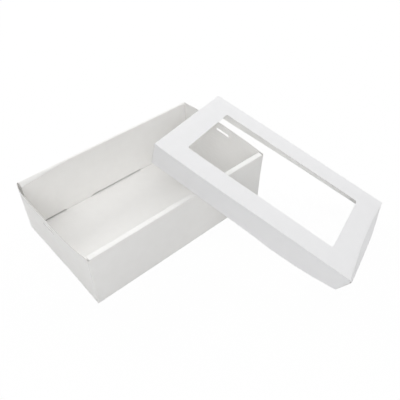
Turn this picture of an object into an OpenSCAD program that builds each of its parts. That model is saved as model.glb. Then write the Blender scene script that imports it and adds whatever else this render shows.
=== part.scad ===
// Two-piece favour box folded from white paperboard: a deep tray whose long
// walls are hollow, and a shallow lid with a clear window, lifted off and
// leaning across the tray's near right corner.
// Millimetres. The origin is the middle of the tray's underside, +X runs to
// the right end, +Y to the far wall and +Z up.

/* [Board] */
// Thickness of the paperboard
board_t = 0.4; // [0.3:0.05:0.7]
// Thickness of the clear window film
film_t = 0.15; // [0.1:0.05:0.3]

/* [Tray] */
// Length of the tray outside, at the floor
tray_l = 200; // [160:1:260]
// Width of the tray outside
tray_w = 121.3; // [100:0.1:150]
// Height of the tray
tray_h = 59.3; // [54:0.1:80]

/* [Hollow long walls] */
// Width of the flat rim on top of the near long wall
near_rim_w = 6; // [4:0.1:8]
// Width of the far wall's rim, which is pressed narrower
far_rim_w = 2.4; // [2.2:0.1:8]
// Distance from the outside to the inner wall's face, at the floor
foot_in = 4; // [3:0.1:5]
// Gap left under the inner wall's bottom edge
foot_gap = 1; // [0.3:0.1:2]
// Length of a locking tab on the inner wall
tab_l = 31.5; // [15:0.5:34]
// Distance from the middle of the wall to the near side of a tab
tab_start = 31.5; // [20:0.5:40]
// Slack round a tab in its slit
slit_fit = 0.3; // [0.1:0.05:0.6]

/* [End walls] */
// Angle that an end wall leans outwards, in degrees
end_lean = 2.7; // [1:0.1:5]
// Length of the slot through an end wall
slot_l = 18; // [10:0.5:40]
// Height of the slot
slot_h = 2; // [1.2:0.1:4]
// Distance from the end wall's top edge down to the slot's middle
slot_drop = 9.5; // [5:0.5:20]
// Gap between an end wall's side and the long wall's outer panel
side_gap = 0.4; // [0.2:0.1:1]
// Gap between an end wall and the ends of the rim and the inner wall
rim_gap = 0.5; // [0.3:0.1:2]
// Gap at the crease between the floor and an end wall
crease_gap = 0.1; // [0.05:0.05:0.3]

/* [Tray corner flaps] */
// Length of a corner flap, tucked into the hollow wall
flap_l = 36; // [20:1:45]
// Drop from the wall's top edge to the flap's top, at the crease
flap_drop = 4; // [2:0.5:8]
// Drop from the wall's top edge to the flap's top, at its tip
flap_tip_drop = 13; // [8:0.5:20]
// Height of the flap's bottom edge, at the crease
flap_foot = 2.5; // [1:0.5:6]
// Height of the flap's bottom edge, at its tip
flap_tip_foot = 6; // [2:0.5:12]

/* [Lid] */
// Depth of the lid outside
lid_d = 20.6; // [16:0.1:24]
// Gap between the lid's skirts and the tray's walls, on each side
lid_fit = 0.6; // [0.5:0.05:1.5]
// Length of a glued corner flap in the lid
lid_flap_l = 22; // [12:1:40]
// Height cut off a lid flap at its top and at its bottom
lid_flap_trim = 1.2; // [0.5:0.1:3]
// Thickness of the glue behind the lid's flaps
glue_t = 0.05; // [0.05:0.01:0.1]
// How far the lid's lower skirt bulges outwards
skirt_bulge = 4.6; // [0:0.1:9]
// Slant of the bulging board that sets its thickness, in degrees
bulge_slant = 45; // [20:1:60]

/* [Window] */
// Length of the window
window_l = 156; // [100:0.5:165]
// Width of the window
window_w = 79; // [40:0.5:85]
// Radius of the window's corners
window_r = 2.5; // [1:0.5:10]
// Width of the glued edge of the film round the window
film_lap = 6; // [3:0.5:10]

/* [Lid at rest] */
// Angle of the line between the lid's two seats, from the near wall
seat_turn = 44.65; // [40:0.05:50]
// Angle of that line across the lid, from its near skirt
seat_skew = 62.8; // [58:0.1:66]
// Gap left at the lid's seats on the tray
rest_gap = 0.3; // [0.25:0.05:0.6]
// Gap between the film and the tray's corner under it
corner_gap = 0.3; // [0.2:0.05:1]

/* [Colours] */
// Outside and inside of the folded board
board_colour = "white"; // [white, ivory, beige]
// Board that is folded inwards
inner_colour = "whitesmoke"; // [whitesmoke, ivory, beige]
// Clear film
film_colour = "lightcyan"; // [lightcyan, azure]

/* [Hidden] */

// Overrun of every cut past the faces that it goes through
cut = 1;

// Half lengths and half widths of the tray's panels
floor_half_l = tray_l / 2 - board_t - crease_gap;
floor_half_w = tray_w / 2 - board_t;
rim_half_l = tray_l / 2 - board_t - rim_gap;
end_half_w = tray_w / 2 - board_t - side_gap;

// The inner wall hangs from the inner crease of a rim of width w. Its foot
// swings out under the near rim, and in under the narrower far one.
function wall_tilt(w) = asin((w - foot_in) / (tray_h - board_t));
function wall_top(w) = tray_h - board_t - board_t * max(0, sin(wall_tilt(w)));
function inner_wall_h(w) = (wall_top(w) - board_t - foot_gap) / cos(wall_tilt(w));
function tab_h(w) = wall_top(w) / cos(wall_tilt(w)) - board_t * abs(tan(wall_tilt(w)));
function slit_y(w) = tray_w / 2 - w + tab_h(w) * sin(wall_tilt(w)) - slit_fit;
function slit_w(w) = board_t / cos(wall_tilt(w)) + 2 * slit_fit;

// Height of an end wall above its crease line
crease_z = board_t / 2;
end_h = tray_h - crease_z;

// The lid fits over the tray's walls
lid_l = tray_l + 2 * (board_t + lid_fit);
lid_w = tray_w + 2 * (board_t + lid_fit);
skirt_h = lid_d - board_t;

// The lower skirt bulges out under its crease, most towards its near end, and
// is flat again at its bottom edge. Its board is slanted, so it is thicker
// along the lid.
bulge_steps = 16;
bulge_rings = 10;
along_share = 1.2;
depth_share = 0.6;
slant_t = board_t / cos(bulge_slant);
function along(y) = pow(max(0, min(1, 1 / 2 - y / lid_w)), along_share);
function depth(z) = pow(max(0, min(1, 1 - z / skirt_h)), depth_share);
function bulge(y, z) = skirt_bulge * sqrt(max(0, sin(180 * along(y)))) * sin(180 * depth(z));

// The lid rests on the near wall's rim, on the right end wall's top edge and
// with one corner on the ground. The line between its two seats on the tray
// is level, and the lid tilts about it. The tray's corner under the window
// limits how far apart the seats lie.
seat_z = tray_h + rest_gap;
corner_room = lid_d - board_t - film_t - corner_gap;
lid_reach = lid_l * sin(seat_skew) + lid_w * cos(seat_skew);
seat_mix = sin(seat_skew) * cos(seat_skew);
seat_span = corner_room * lid_reach / (seat_z * sin(2 * seat_turn) / 2 + corner_room * seat_mix);
lid_tilt = asin(seat_z / (lid_reach - seat_span * seat_mix));
end_top_x = tray_l / 2 - crease_z + end_h * sin(end_lean) + crease_z;
near_seat = [end_top_x - seat_span * cos(seat_turn), -tray_w / 2, seat_z];

// A panel of board with one corner at the origin
module sheet(size_x, size_y, size_z) {
    cube([size_x, size_y, size_z]);
}

// The two slits for the tabs of the far inner wall
module slits(w) {
    for (end = [0, 1])
        mirror([end, 0, 0])
            translate([tab_start - slit_fit, slit_y(w), -cut])
                cube([tab_l + 2 * slit_fit, slit_w(w), board_t + 2 * cut]);
}

module tray_floor() {
    color(inner_colour)
        difference() {
            translate([-floor_half_l, -floor_half_w, 0])
                sheet(2 * floor_half_l, 2 * floor_half_w, board_t);
            slits(far_rim_w);
            near_side() slits(near_rim_w);
        }
}

// The far long wall. The near one is its mirror image, with a wider rim
module outer_wall() {
    color(board_colour)
        translate([-tray_l / 2, tray_w / 2 - board_t, 0])
            sheet(tray_l, board_t, tray_h - board_t);
}

module rim(w) {
    color(board_colour)
        translate([-rim_half_l, tray_w / 2 - w, tray_h - board_t])
            sheet(2 * rim_half_l, w, board_t);
}

module inner_wall(w) {
    color(inner_colour)
        translate([0, tray_w / 2 - w, wall_top(w)])
            rotate([wall_tilt(w), 0, 0]) {
                translate([-rim_half_l, 0, -inner_wall_h(w)])
                    sheet(2 * rim_half_l, board_t, inner_wall_h(w));
                for (end = [0, 1])
                    mirror([end, 0, 0])
                        translate([tab_start, 0, -tab_h(w)])
                            sheet(tab_l, board_t, tab_h(w));
            }
}

module near_side() {
    mirror([0, 1, 0])
        children();
}

// Frame of the right end wall: the crease lies along its Y axis
module right_end_frame() {
    translate([tray_l / 2 - crease_z, 0, crease_z])
        rotate([0, end_lean, 0])
            children();
}

module left_end_frame() {
    mirror([1, 0, 0])
        right_end_frame()
            children();
}

// A panel with its folded edge rolled round the crease line, and the slot
module end_wall() {
    slot_z = end_h - slot_drop;
    color(board_colour)
        difference() {
            union() {
                translate([-board_t / 2, -end_half_w, 0])
                    sheet(board_t, 2 * end_half_w, end_h);
                rotate([-90, 0, 0])
                    translate([0, 0, -end_half_w])
                        cylinder(h = 2 * end_half_w, d = board_t, $fn = 24);
            }
            translate([-cut, -(slot_l - slot_h) / 2, slot_z - slot_h / 2])
                cube([2 * cut, slot_l - slot_h, slot_h]);
            for (side = [-1, 1])
                translate([-cut, side * (slot_l - slot_h) / 2, slot_z])
                    rotate([0, 90, 0])
                        cylinder(h = 2 * cut, d = slot_h, $fn = 32);
        }
}

// The far flap: it folds back from the end wall's far edge
module end_flap() {
    color(inner_colour)
        translate([-board_t / 2, end_half_w, -crease_z])
            rotate([90, 0, 0])
                linear_extrude(board_t)
                    polygon([
                        [0, flap_foot],
                        [0, tray_h - flap_drop],
                        [-flap_l, tray_h - flap_tip_drop],
                        [-flap_l, flap_tip_foot]
                    ]);
}

// Frame of the lid: its middle in plan, at the skirts' bottom edges, with +X
// from the upper end to the lower end and +Y from the near to the far skirt
module lid_frame() {
    translate(near_seat)
        rotate([0, 0, seat_turn])
            rotate([lid_tilt, 0, 0])
                rotate([0, 0, seat_skew - 180])
                    translate([lid_l / 2 - seat_span * cos(seat_skew), lid_w / 2, 0])
                        children();
}

module window_outline(grow) {
    corner_x = window_l / 2 - window_r;
    corner_y = window_w / 2 - window_r;
    square([window_l + 2 * grow, 2 * corner_y], center = true);
    square([2 * corner_x, window_w + 2 * grow], center = true);
    for (x = [-corner_x, corner_x], y = [-corner_y, corner_y])
        translate([x, y])
            circle(r = window_r + grow, $fn = 48);
}

module lid_panel() {
    color(board_colour)
        translate([0, 0, skirt_h])
            difference() {
                translate([-lid_l / 2, -lid_w / 2, 0])
                    sheet(lid_l, lid_w, board_t);
                translate([0, 0, -cut])
                    linear_extrude(board_t + 2 * cut)
                        window_outline(0);
            }
}

module long_skirt() {
    color(board_colour)
        translate([-lid_l / 2 + board_t, lid_w / 2 - board_t, 0])
            sheet(lid_l - board_t - slant_t, board_t, skirt_h);
}

module upper_skirt() {
    color(board_colour)
        translate([-lid_l / 2, -lid_w / 2, 0])
            sheet(board_t, lid_w, skirt_h);
}

// Folded from the far skirt's end and glued behind the upper skirt
module upper_flap() {
    color(inner_colour)
        translate([-lid_l / 2 + board_t, lid_w / 2 - board_t - lid_flap_l, lid_flap_trim])
            sheet(board_t, lid_flap_l, skirt_h - 2 * lid_flap_trim);
}

// A board that follows the lower skirt's bulge, set back from its outer face
module bulged_board(set_back) {
    across = [for (i = [0:bulge_steps]) lid_w * (i / bulge_steps - 1 / 2)];
    up = [for (k = [0:bulge_rings]) skirt_h * k / bulge_rings];
    row = bulge_rings + 1;
    side = row * (bulge_steps + 1);
    polyhedron(
        points = [
            for (back = [set_back, set_back + slant_t], y = across, z = up)
                [lid_l / 2 - back + bulge(y, z), y, z]
        ],
        faces = concat(
            [for (i = [0:bulge_steps - 1], k = [0:bulge_rings - 1], h = [0, 1])
                let (a = i * row + k)
                    h == 0 ? [a, a + row, a + row + 1] : [a, a + row + 1, a + 1]],
            [for (i = [0:bulge_steps - 1], k = [0:bulge_rings - 1], h = [0, 1])
                let (a = side + i * row + k)
                    h == 0 ? [a, a + row + 1, a + row] : [a, a + 1, a + row + 1]],
            [for (i = [0:bulge_steps - 1], h = [0, 1])
                let (a = i * row, b = a + row)
                    h == 0 ? [a, side + a, side + b] : [a, side + b, b]],
            [for (i = [0:bulge_steps - 1], h = [0, 1])
                let (a = i * row + bulge_rings, b = a + row)
                    h == 0 ? [a, side + b, side + a] : [a, b, side + b]],
            [for (k = [0:bulge_rings - 1], h = [0, 1])
                h == 0 ? [k, side + k + 1, side + k] : [k, k + 1, side + k + 1]],
            [for (k = [0:bulge_rings - 1], h = [0, 1])
                let (a = bulge_steps * row + k, b = side + a)
                    h == 0 ? [a, b, b + 1] : [a, b + 1, a + 1]]
        )
    );
}

module lower_skirt() {
    color(board_colour)
        bulged_board(0);
}

// Folded from the far or near skirt's end and glued behind the lower skirt:
// the two differ only in where they start across the lid
module lower_flap(start_y) {
    color(inner_colour)
        intersection() {
            bulged_board(slant_t + glue_t);
            translate([0, start_y, lid_flap_trim])
                cube([lid_l, lid_flap_l, skirt_h - 2 * lid_flap_trim]);
        }
}

// Glued under the panel
module film() {
    color(film_colour, 0.4)
        translate([0, 0, skirt_h - film_t])
            linear_extrude(film_t)
                window_outline(film_lap);
}

tray_floor();
near_side() outer_wall();  // near_outer_wall
near_side() rim(near_rim_w);  // near_rim
near_side() inner_wall(near_rim_w);  // near_inner_wall
outer_wall();  // far_outer_wall
rim(far_rim_w);  // far_rim
inner_wall(far_rim_w);  // far_inner_wall
left_end_frame() end_wall();  // left_end_wall
left_end_frame() near_side() end_flap();  // left_near_flap
left_end_frame() end_flap();  // left_far_flap
right_end_frame() end_wall();  // right_end_wall
right_end_frame() near_side() end_flap();  // right_near_flap
right_end_frame() end_flap();  // right_far_flap
lid_frame() lid_panel();
lid_frame() near_side() long_skirt();  // lid_near_skirt
lid_frame() long_skirt();  // lid_far_skirt
lid_frame() upper_skirt();  // lid_upper_skirt
lid_frame() lower_skirt();  // lid_lower_skirt
lid_frame() near_side() upper_flap();  // lid_upper_near_flap
lid_frame() upper_flap();  // lid_upper_far_flap
lid_frame() lower_flap(-lid_w / 2 + board_t);  // lid_lower_near_flap
lid_frame() lower_flap(lid_w / 2 - board_t - lid_flap_l);  // lid_lower_far_flap
lid_frame() film();  // window_film
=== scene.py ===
"""Paperboard favour box, opened: a hollow-walled tray and a windowed lid that leans on it.

Every board is made the way a real one is: a flat blank is ruled with its crease
lines, cut to shape, folded into place and then given its thickness and finish.
Lengths are in metres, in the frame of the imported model: the origin is the middle
of the tray's underside, +X runs to its right end, +Y to its far wall, +Z up.
"""

from __future__ import annotations

import logging
import math
from collections.abc import Callable, Iterable, Iterator, Sequence
from contextlib import contextmanager
from dataclasses import dataclass
from enum import Enum

import bpy
from mathutils import Matrix, Vector

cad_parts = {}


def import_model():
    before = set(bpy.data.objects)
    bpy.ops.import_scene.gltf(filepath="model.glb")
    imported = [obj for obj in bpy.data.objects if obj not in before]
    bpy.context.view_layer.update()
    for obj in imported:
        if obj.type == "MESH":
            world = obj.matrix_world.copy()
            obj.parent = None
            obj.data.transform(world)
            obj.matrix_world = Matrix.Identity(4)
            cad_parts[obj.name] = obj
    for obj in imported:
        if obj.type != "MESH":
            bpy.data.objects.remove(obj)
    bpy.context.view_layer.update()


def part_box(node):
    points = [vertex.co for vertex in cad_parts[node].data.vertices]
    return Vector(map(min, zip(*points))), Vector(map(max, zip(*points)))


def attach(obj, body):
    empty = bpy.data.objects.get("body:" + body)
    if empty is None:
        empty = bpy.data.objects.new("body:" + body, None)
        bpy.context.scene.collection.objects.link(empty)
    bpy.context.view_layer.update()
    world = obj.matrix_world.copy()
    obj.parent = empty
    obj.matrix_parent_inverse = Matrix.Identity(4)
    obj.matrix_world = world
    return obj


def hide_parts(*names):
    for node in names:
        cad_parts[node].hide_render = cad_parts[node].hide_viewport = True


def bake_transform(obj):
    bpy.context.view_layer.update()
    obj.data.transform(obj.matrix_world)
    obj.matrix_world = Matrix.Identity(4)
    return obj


LOG = logging.getLogger("favour_box")
MM = 0.001
WHITE = (1.0, 1.0, 1.0)

Pair = tuple[float, float]
Triple = tuple[float, float, float]
Table = Sequence[Pair]


# Numbers and tables


def clamp(value: float, low: float = 0.0, high: float = 1.0) -> float:
    """Return a number held between two others."""
    return max(low, min(high, value))


def in_mm(*pairs: Pair, step: float = MM) -> Table:
    """Return a table of places, given in steps, and of values given in millimetres."""
    return tuple((place * step, value * MM) for place, value in pairs)


LEVEL = in_mm((0.0, 0.0))


def eased(table: Table, at: float) -> float:
    """Read a table of places and values, easing from each value to the next.

    Args:
        table: Pairs of place and value, in order of place.
        at: The place to read.

    Returns:
        The value there.
    """
    if at <= table[0][0]:
        return table[0][1]
    for (a, first), (b, second) in zip(table, table[1:]):
        if at <= b:
            even_share = (at - a) / (b - a)
            slow_share = 0.5 - 0.5 * math.cos(math.pi * even_share)
            return first + (second - first) * (even_share + slow_share) / 2
    return table[-1][1]


# Finishes


class Signal:
    """A shader value that adds a Math node whenever it is used in an expression."""

    def __init__(self, graph: Graph, socket: bpy.types.NodeSocket) -> None:
        """Wrap a socket.

        Args:
            graph: The graph that the socket belongs to.
            socket: An output socket that carries a number.
        """
        self.graph = graph
        self.socket = socket

    def _math(self, operation: str, *terms: Signal | float) -> Signal:
        """Add a Math node and return its result."""
        node = self.graph.node("ShaderNodeMath", {"operation": operation}, dict(enumerate(terms)))
        return Signal(self.graph, node.outputs[0])

    def __add__(self, other: Signal | float) -> Signal:
        """Return self + other."""
        return self._math("ADD", self, other)

    def __radd__(self, other: float) -> Signal:
        """Return other + self."""
        return self._math("ADD", other, self)

    def __sub__(self, other: Signal | float) -> Signal:
        """Return self - other."""
        return self._math("SUBTRACT", self, other)

    def __rsub__(self, other: float) -> Signal:
        """Return other - self."""
        return self._math("SUBTRACT", other, self)

    def __mul__(self, other: Signal | float) -> Signal:
        """Return self * other."""
        return self._math("MULTIPLY", self, other)

    def __rmul__(self, other: float) -> Signal:
        """Return other * self."""
        return self._math("MULTIPLY", other, self)

    def clamped(self) -> Signal:
        """Return self held between 0 and 1."""
        return self._math("MAXIMUM", self._math("MINIMUM", self, 1.0), 0.0)


class Graph:
    """The node tree of a material or a world."""

    def __init__(self, owner: bpy.types.Material | bpy.types.World) -> None:
        """Start with an empty tree.

        Args:
            owner: The material or the world.
        """
        self.owner = owner
        owner.use_nodes = True
        self.tree = owner.node_tree
        self.tree.nodes.clear()

    def node(
        self, kind: str, settings: dict | None = None, values: dict | None = None
    ) -> bpy.types.Node:
        """Add a node of any type.

        Args:
            kind: The node's type name.
            settings: The node's own settings, which are set first.
            values: The values or links of its sockets, by name or number.

        Returns:
            The new node.
        """
        node = self.tree.nodes.new(kind)
        for key, value in (settings or {}).items():
            setattr(node, key, value)
        for key, value in (values or {}).items():
            if isinstance(value, Signal):
                value = value.socket
            if isinstance(value, bpy.types.NodeSocket):
                self.tree.links.new(value, node.inputs[key])
            elif isinstance(value, (int, float)):
                node.inputs[key].default_value = value
            else:
                size = len(node.inputs[key].default_value)
                node.inputs[key].default_value = (*value, 1.0)[:size]
        return node

    def noise(
        self, size: float, detail: float, stretch: Triple = (1.0, 1.0, 1.0)
    ) -> Signal:
        """Return a noise pattern from 0 to 1.

        Args:
            size: The size of its largest blotches, in metres.
            detail: How many finer layers it has.
            stretch: How much closer it is along each axis.

        Returns:
            The pattern.
        """
        here = self.node("ShaderNodeTexCoord").outputs["Object"]
        where = self.node("ShaderNodeMapping", {}, {"Vector": here, "Scale": stretch})
        node = self.node(
            "ShaderNodeTexNoise",
            {"noise_dimensions": "3D"},
            {"Vector": where.outputs[0], "Scale": 1.0 / size, "Detail": detail},
        )
        return Signal(self, node.outputs["Fac"])

    def attribute(self, name: str) -> Signal:
        """Return a number that the piece's points carry."""
        node = self.node("ShaderNodeAttribute", {"attribute_name": name})
        return Signal(self, node.outputs["Fac"])

    def blend(
        self, share: Signal, first: Triple | bpy.types.NodeSocket, second: Triple
    ) -> bpy.types.NodeSocket:
        """Return a colour between two, by a share from 0 to 1."""
        node = self.node(
            "ShaderNodeMix", {"data_type": "RGBA"}, {"Factor": share, 6: first, 7: second}
        )
        return node.outputs[2]

    def bump(self, share: float, depth: float, height: Signal) -> bpy.types.NodeSocket:
        """Return the normal of a surface with a share of a fine relief of some depth."""
        values = {"Strength": share, "Distance": depth, "Height": height}
        return self.node("ShaderNodeBump", {}, values).outputs[0]

    def surface(self, values: dict) -> bpy.types.Material:
        """Finish a material with one Principled shader and return it."""
        return self.finish(self.node("ShaderNodeBsdfPrincipled", {}, values))

    def finish(
        self, shader: bpy.types.Node, output: str = "ShaderNodeOutputMaterial"
    ) -> bpy.types.Material | bpy.types.World:
        """Link a shader to the surface and return the tree's owner."""
        self.node(output, {}, {"Surface": shader.outputs[0]})
        return self.owner


@dataclass(frozen=True)
class BoardFinish:
    """Smooth white paperboard: its tone clouds softly and its creases are a little dull."""

    name: str
    colour: Triple
    cloud: Triple
    crease: Triple
    roughness: float = 0.62
    cloud_size: float = 9 * MM
    cloud_contrast: float = 2.2
    fleck_size: float = 0.9 * MM
    fleck_share: float = 0.25
    fibre_size: float = 0.45 * MM
    fibre_stretch: Triple = (0.35, 1.0, 1.0)
    wave_size: float = 46 * MM
    wear: float = 0.55
    fleck_wear: float = 0.6
    cloud_dulling: float = 0.08
    crease_dulling: float = 0.1
    fibre_relief: float = 0.35
    fleck_relief: float = 0.25
    wave_relief: float = 4.4
    relief: float = 0.06 * MM
    relief_share: float = 0.35

    def material(self) -> bpy.types.Material:
        """Make the material.

        Returns:
            The board's material.
        """
        graph = Graph(bpy.data.materials.new(self.name))
        cloudy = graph.noise(self.cloud_size, 4.0)
        cloudy = ((cloudy - 0.5) * self.cloud_contrast + 0.5).clamped()
        flecks = graph.noise(self.fleck_size, 2.0)
        fibres = graph.noise(self.fibre_size, 3.0, self.fibre_stretch)
        wave = graph.noise(self.wave_size, 1.0)
        crease = graph.attribute("crease")
        mottle = (cloudy * (1.0 - self.fleck_share) + flecks * self.fleck_share).clamped()
        worn = (crease * (self.wear + flecks * self.fleck_wear)).clamped()
        tone = graph.blend(mottle, self.colour, self.cloud)
        height = fibres * self.fibre_relief + flecks * self.fleck_relief
        height = height + wave * self.wave_relief
        dulling = cloudy * self.cloud_dulling + crease * self.crease_dulling
        return graph.surface(
            {
                "Base Color": graph.blend(worn, tone, self.crease),
                "Roughness": (self.roughness + dulling).clamped(),
                "IOR": 1.45,
                "Specular IOR Level": 0.35,
                "Normal": graph.bump(self.relief_share, self.relief, height),
            }
        )


@dataclass(frozen=True)
class CutFinish:
    """The cut edge of a board: rougher and greyer, with its plies showing."""

    name: str
    colour: Triple
    ply: Triple
    roughness: float = 0.8
    ply_size: float = 0.25 * MM
    ply_share: float = 0.7
    nick_size: float = 1.6 * MM
    nick_dulling: float = 0.15
    relief: float = 0.08 * MM
    relief_share: float = 0.5

    def material(self) -> bpy.types.Material:
        """Make the material.

        Returns:
            The cut edge's material.
        """
        graph = Graph(bpy.data.materials.new(self.name))
        plies = graph.noise(self.ply_size, 2.0)
        nicks = graph.noise(self.nick_size, 4.0)
        mottle = (plies * self.ply_share + nicks * (1.0 - self.ply_share)).clamped()
        return graph.surface(
            {
                "Base Color": graph.blend(mottle, self.colour, self.ply),
                "Roughness": (self.roughness + nicks * self.nick_dulling).clamped(),
                "Specular IOR Level": 0.2,
                "Normal": graph.bump(self.relief_share, self.relief, plies + nicks),
            }
        )


@dataclass(frozen=True)
class FilmFinish:
    """Thin clear film, faintly rippled, with hazy glue along its edges."""

    name: str = "clear_film"
    cover_share: float = 0.03
    roughness: float = 0.05
    ripple_size: float = 60 * MM
    haze_size: float = 4 * MM
    haze_dulling: float = 0.03
    haze_cover_share: float = 0.01
    glue_dulling: float = 0.25
    glue_cover_share: float = 0.1
    relief: float = 0.4 * MM
    relief_share: float = 0.3

    def material(self) -> bpy.types.Material:
        """Make the material.

        Returns:
            The film's material.
        """
        graph = Graph(bpy.data.materials.new(self.name))
        ripple = graph.noise(self.ripple_size, 1.0)
        haze = graph.noise(self.haze_size, 3.0)
        glue = graph.attribute("crease")
        roughness = self.roughness + glue * self.glue_dulling + haze * self.haze_dulling
        cover = self.cover_share + haze * self.haze_cover_share + glue * self.glue_cover_share
        return graph.surface(
            {
                "Base Color": WHITE,
                "Roughness": roughness.clamped(),
                "Alpha": cover.clamped(),
                "IOR": 1.5,
                "Normal": graph.bump(self.relief_share, self.relief, ripple),
            }
        )


@dataclass(frozen=True)
class FloorFinish:
    """A plain pale floor that shows white to the camera and keeps the object's shadow."""

    name: str = "studio_floor"
    colour: Triple = (0.93, 0.93, 0.93)
    shown_share: float = 0.97

    def material(self) -> bpy.types.Material:
        """Make the material.

        Returns:
            The floor's material.
        """
        graph = Graph(bpy.data.materials.new(self.name))
        rays = graph.node("ShaderNodeLightPath").outputs
        camera, glossy, clear = (
            Signal(graph, rays[f"Is {kind} Ray"]) for kind in ("Camera", "Glossy", "Transmission")
        )
        seen = (camera + glossy + clear).clamped() * self.shown_share
        paper = graph.node("ShaderNodeBsdfDiffuse", {}, {"Color": self.colour})
        glow = graph.node("ShaderNodeEmission", {}, {"Color": WHITE, "Strength": 1.0})
        values = {0: seen, 1: paper.outputs[0], 2: glow.outputs[0]}
        return graph.finish(graph.node("ShaderNodeMixShader", {}, values))


TRAY_BOARD = BoardFinish(
    "tray_board", (0.935, 0.929, 0.915), (0.91, 0.903, 0.888), (0.89, 0.88, 0.862)
)
# The lid's board is a darker, cooler copy of the white board: its darkness is painted shade that
# tones down the lid's brightly lit top. The lid's inside is a lighter, warmer copy, like the tray's
# board: its lightness is painted light on the shaded inner faces of the lid.
LID_SHADED_BOARD = BoardFinish(
    "lid_board", (0.873, 0.873, 0.881), (0.852, 0.852, 0.86), (0.835, 0.835, 0.84)
)
LID_LIT_INSIDE = BoardFinish(
    "lid_inside", (0.94, 0.937, 0.922), (0.918, 0.914, 0.898), (0.9, 0.895, 0.88)
)
# Three copies of one cut edge at different tones. The grey plies are the board's own colour, but
# each copy's tone is painted light or shade: the darkest paints shade into the slots, slits and
# gaps whose edges it lines, the middle one paints lighter shade on the left end wall's edges, and
# the palest is lightened so that its edges show no dark shadow line.
SHADE_DARKENED_EDGE_FINISH = CutFinish("cut_edge", (0.6, 0.58, 0.55), (0.44, 0.42, 0.4))
MID_SHADE_EDGE_FINISH = CutFinish("soft_cut_edge", (0.68, 0.665, 0.64), (0.53, 0.515, 0.495))
LIGHTENED_EDGE_FINISH = CutFinish("pale_cut_edge", (0.84, 0.83, 0.82), (0.72, 0.71, 0.7))


# Board making


class Path2D:
    """A line through given corners, each rounded to its own radius, as a board folds."""

    # Two lengths closer than this are one.
    HAIR = 1e-7

    def __init__(self, points: Sequence[Pair], *radii: float) -> None:
        """Work out the lengths along the line.

        Args:
            points: The line's ends and corners, in order.
            *radii: The radius of each corner between the ends.
        """
        self.points = [Vector(p) for p in points]
        self.places = [0.0]
        for a, b in zip(self.points, self.points[1:]):
            self.places.append(self.places[-1] + (b - a).length)
        self.turns: list[tuple[int, float, float]] = []
        for i, radius in enumerate(radii, start=1):
            before = (self.points[i] - self.points[i - 1]).normalized()
            after = (self.points[i + 1] - self.points[i]).normalized()
            turn = before.angle_signed(after)
            self.turns.append((i, turn, radius * math.tan(abs(turn) / 2)))

    def start(self, corner: int) -> float:
        """Return the length at which a corner's bend starts."""
        return self.places[corner] - self.turns[corner - 1][2]

    def end(self, corner: int) -> float:
        """Return the length at which a corner's bend ends."""
        return self.places[corner] + self.turns[corner - 1][2]

    def at(self, s: float) -> Pair:
        """Return the point at a length along the line.

        Args:
            s: The length from the first point.

        Returns:
            The point.
        """
        for i, turn, reach in self.turns:
            if reach > 0 and abs(s - self.places[i]) < reach:
                before = (self.points[i] - self.points[i - 1]).normalized()
                radius = reach / math.tan(abs(turn) / 2)
                angle = abs(turn) * (s - self.places[i] + reach) / (2 * reach)
                side = Vector((before.y, -before.x)) * (1 if turn > 0 else -1)
                spot = self.points[i] - before * reach + before * radius * math.sin(angle)
                spot += side * radius * (1 - math.cos(angle))
                return spot.x, spot.y
        k = 0
        while k < len(self.places) - 2 and s > self.places[k + 1]:
            k += 1
        share = (s - self.places[k]) / (self.places[k + 1] - self.places[k])
        spot = self.points[k].lerp(self.points[k + 1], share)
        return spot.x, spot.y

    def bend_lines(self, low: float, high: float, cuts: int = 5) -> list[float]:
        """Return the lengths at which a bend needs a line.

        Args:
            low: The length from which they are wanted.
            high: The length up to which they are wanted.
            cuts: How many flat strips make up a bend.

        Returns:
            The lengths between low and high, corner by corner.
        """
        lines = []
        for i, _, reach in self.turns:
            lines += [self.places[i] - reach + 2 * reach * k / cuts for k in range(cuts + 1)]
        return [s for s in lines if low + self.HAIR < s < high - self.HAIR]


class Face(Enum):
    """Which way the outer side of a board looks."""

    EAST = (1.0, 0.0, 0.0)
    WEST = (-1.0, 0.0, 0.0)
    NORTH = (0.0, 1.0, 0.0)
    SOUTH = (0.0, -1.0, 0.0)
    UP = (0.0, 0.0, 1.0)


class Pick(Enum):
    """What is selected in edit mode."""

    POINTS = "VERT"
    CELLS = "FACE"


def select_none() -> None:
    """Deselect every object."""
    for other in bpy.context.selected_objects:
        other.select_set(False)


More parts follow.
